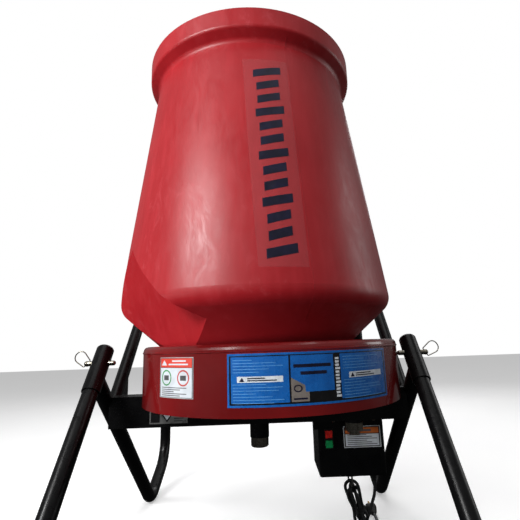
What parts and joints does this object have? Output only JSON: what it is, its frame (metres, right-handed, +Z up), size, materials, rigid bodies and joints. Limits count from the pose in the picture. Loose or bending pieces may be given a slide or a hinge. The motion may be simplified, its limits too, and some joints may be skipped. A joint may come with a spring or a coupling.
{
  "type": "portable concrete mixer",
  "caption": "Portable electric concrete mixer: upright tapered plastic drum turning in a round steel drive guard on a tubular stand with pinned front legs, motor box and power lead.",
  "frame": {"origin": "on the floor under the centre of the stand's outline", "axes": "+Z up along the drum axis; -Y is the front, where the removable legs are; +X to the right seen from the front"},
  "size_m": [0.7511, 0.8665, 1.059],
  "materials": {
    "drum_red": "satin moulded polyethylene with a fine matt skin",
    "guard_red": "gloss dark red enamel on sheet steel",
    "frame_black": "semi-gloss black powder coat",
    "zinc": "bright zinc plate",
    "bare_steel": "ground bare steel",
    "gear_iron": "cast iron with machined teeth",
    "motor_grey": "dark grey motor enamel",
    "rubber_black": "matt black rubber",
    "belt_black": "fabric-faced rubber belt",
    "plastic_black": "moulded black plastic",
    "stop_red": "gloss red plastic",
    "start_green": "gloss green plastic",
    "label_blue": null,
    "label_white": null,
    "plate_silver": "brushed aluminium plate",
    "cord_black": "black PVC-jacketed lead",
    "brass": "bright brass"
  },
  "bodies": {
    "frame": {"drive_guard": "guard_red", "crossbar": "frame_black", "guard_floor": "frame_black", "motor_plate": "frame_black", "motor_cover": "frame_black", "push_handle": "frame_black", "drum_bearing_housing": "frame_black", "jackshaft_housing": "frame_black", "left_side_tube": "frame_black", "left_brace_tube": "frame_black", "left_gusset": "frame_black", "left_leg_sleeve": "frame_black", "left_front_leg": "frame_black", "left_leg_foot": "rubber_black", "right_side_tube": "frame_black", "right_brace_tube": "frame_black", "right_gusset": "frame_black", "right_leg_sleeve": "frame_black", "right_front_leg": "frame_black", "right_leg_foot": "rubber_black", "sleeve_plugs": "plastic_black", "riser_caps": "plastic_black", "switch_housing": "plastic_black", "handle_grips": "rubber_black", "cord_gland": "rubber_black", "drum_bearing_cap": "zinc", "jackshaft_cap": "zinc", "floor_bolts": "zinc", "cover_screws": "zinc", "drum_bearings": "bare_steel", "jackshaft_bearings": "bare_steel", "cord_hook": "bare_steel", "motor_body": "motor_grey", "drive_belt": "belt_black", "guard_label": "label_blue", "caution_label": "label_white", "cover_label": "label_white", "rating_plate": "plate_silver", "cord_tube": "cord_black", "cord_hank": "cord_black", "cord_tail": "cord_black", "plug_body": "cord_black", "cord_tie": "plastic_black", "plug_blades": "brass"},
    "drum": {"drum_shell": "drum_red", "drum_base_plate": "frame_black", "drum_bolts": "zinc", "ring_gear": "gear_iron", "drum_shaft": "bare_steel"},
    "jackshaft": {"jackshaft": "bare_steel", "pinion": "gear_iron", "driven_pulley": "gear_iron"},
    "motor_rotor": {"motor_shaft": "bare_steel", "motor_pulley": "gear_iron"},
    "left_pin": {"left_hitch_pin": "zinc"},
    "right_pin": {"right_hitch_pin": "zinc"},
    "left_ring": {"left_pin_ring": "zinc"},
    "right_ring": {"right_pin_ring": "zinc"},
    "stop_button": {"stop_button": "stop_red"},
    "start_button": {"start_button": "start_green"}
  },
  "joints": [
    {"name": "drum_spin", "type": "hinge", "parent": "frame", "child": "drum", "pos_m": [0, -0.05825, 0.39], "axis": [0, 0, 1], "continuous": true},
    {"name": "jackshaft_spin", "type": "hinge", "parent": "frame", "child": "jackshaft", "pos_m": [0.1995, -0.05825, 0.3], "axis": [0, 0, 1], "continuous": true},
    {"name": "motor_spin", "type": "hinge", "parent": "frame", "child": "motor_rotor", "pos_m": [0.2, 0.05975, 0.3], "axis": [0, 0, 1], "continuous": true},
    {"name": "left_pin_pull", "type": "slide", "parent": "frame", "child": "left_pin", "axis": [-1, 0, 0], "range_m": [0, 0.06]},
    {"name": "left_ring_swing", "type": "hinge", "parent": "left_pin", "child": "left_ring", "pos_m": [-0.348, -0.11143, 0.38901], "axis": [0.7071, 0, 0.7071], "range_deg": [-70, 70]},
    {"name": "right_pin_pull", "type": "slide", "parent": "frame", "child": "right_pin", "axis": [1, 0, 0], "range_m": [0, 0.06]},
    {"name": "right_ring_swing", "type": "hinge", "parent": "right_pin", "child": "right_ring", "pos_m": [0.348, -0.11143, 0.38901], "axis": [-0.5299, 0, 0.848], "range_deg": [-70, 70]},
    {"name": "stop_press", "type": "slide", "parent": "frame", "child": "stop_button", "axis": [0, 1, 0], "range_m": [0, 0.003], "stiffness_N_per_m": 400},
    {"name": "start_press", "type": "slide", "parent": "frame", "child": "start_button", "axis": [0, 1, 0], "range_m": [0, 0.003], "stiffness_N_per_m": 400}
  ],
  "couplings": [
    {"joint": "jackshaft_spin", "follows": "drum_spin", "ratio": -11.091},
    {"joint": "motor_spin", "follows": "drum_spin", "ratio": -60.106}
  ]
}
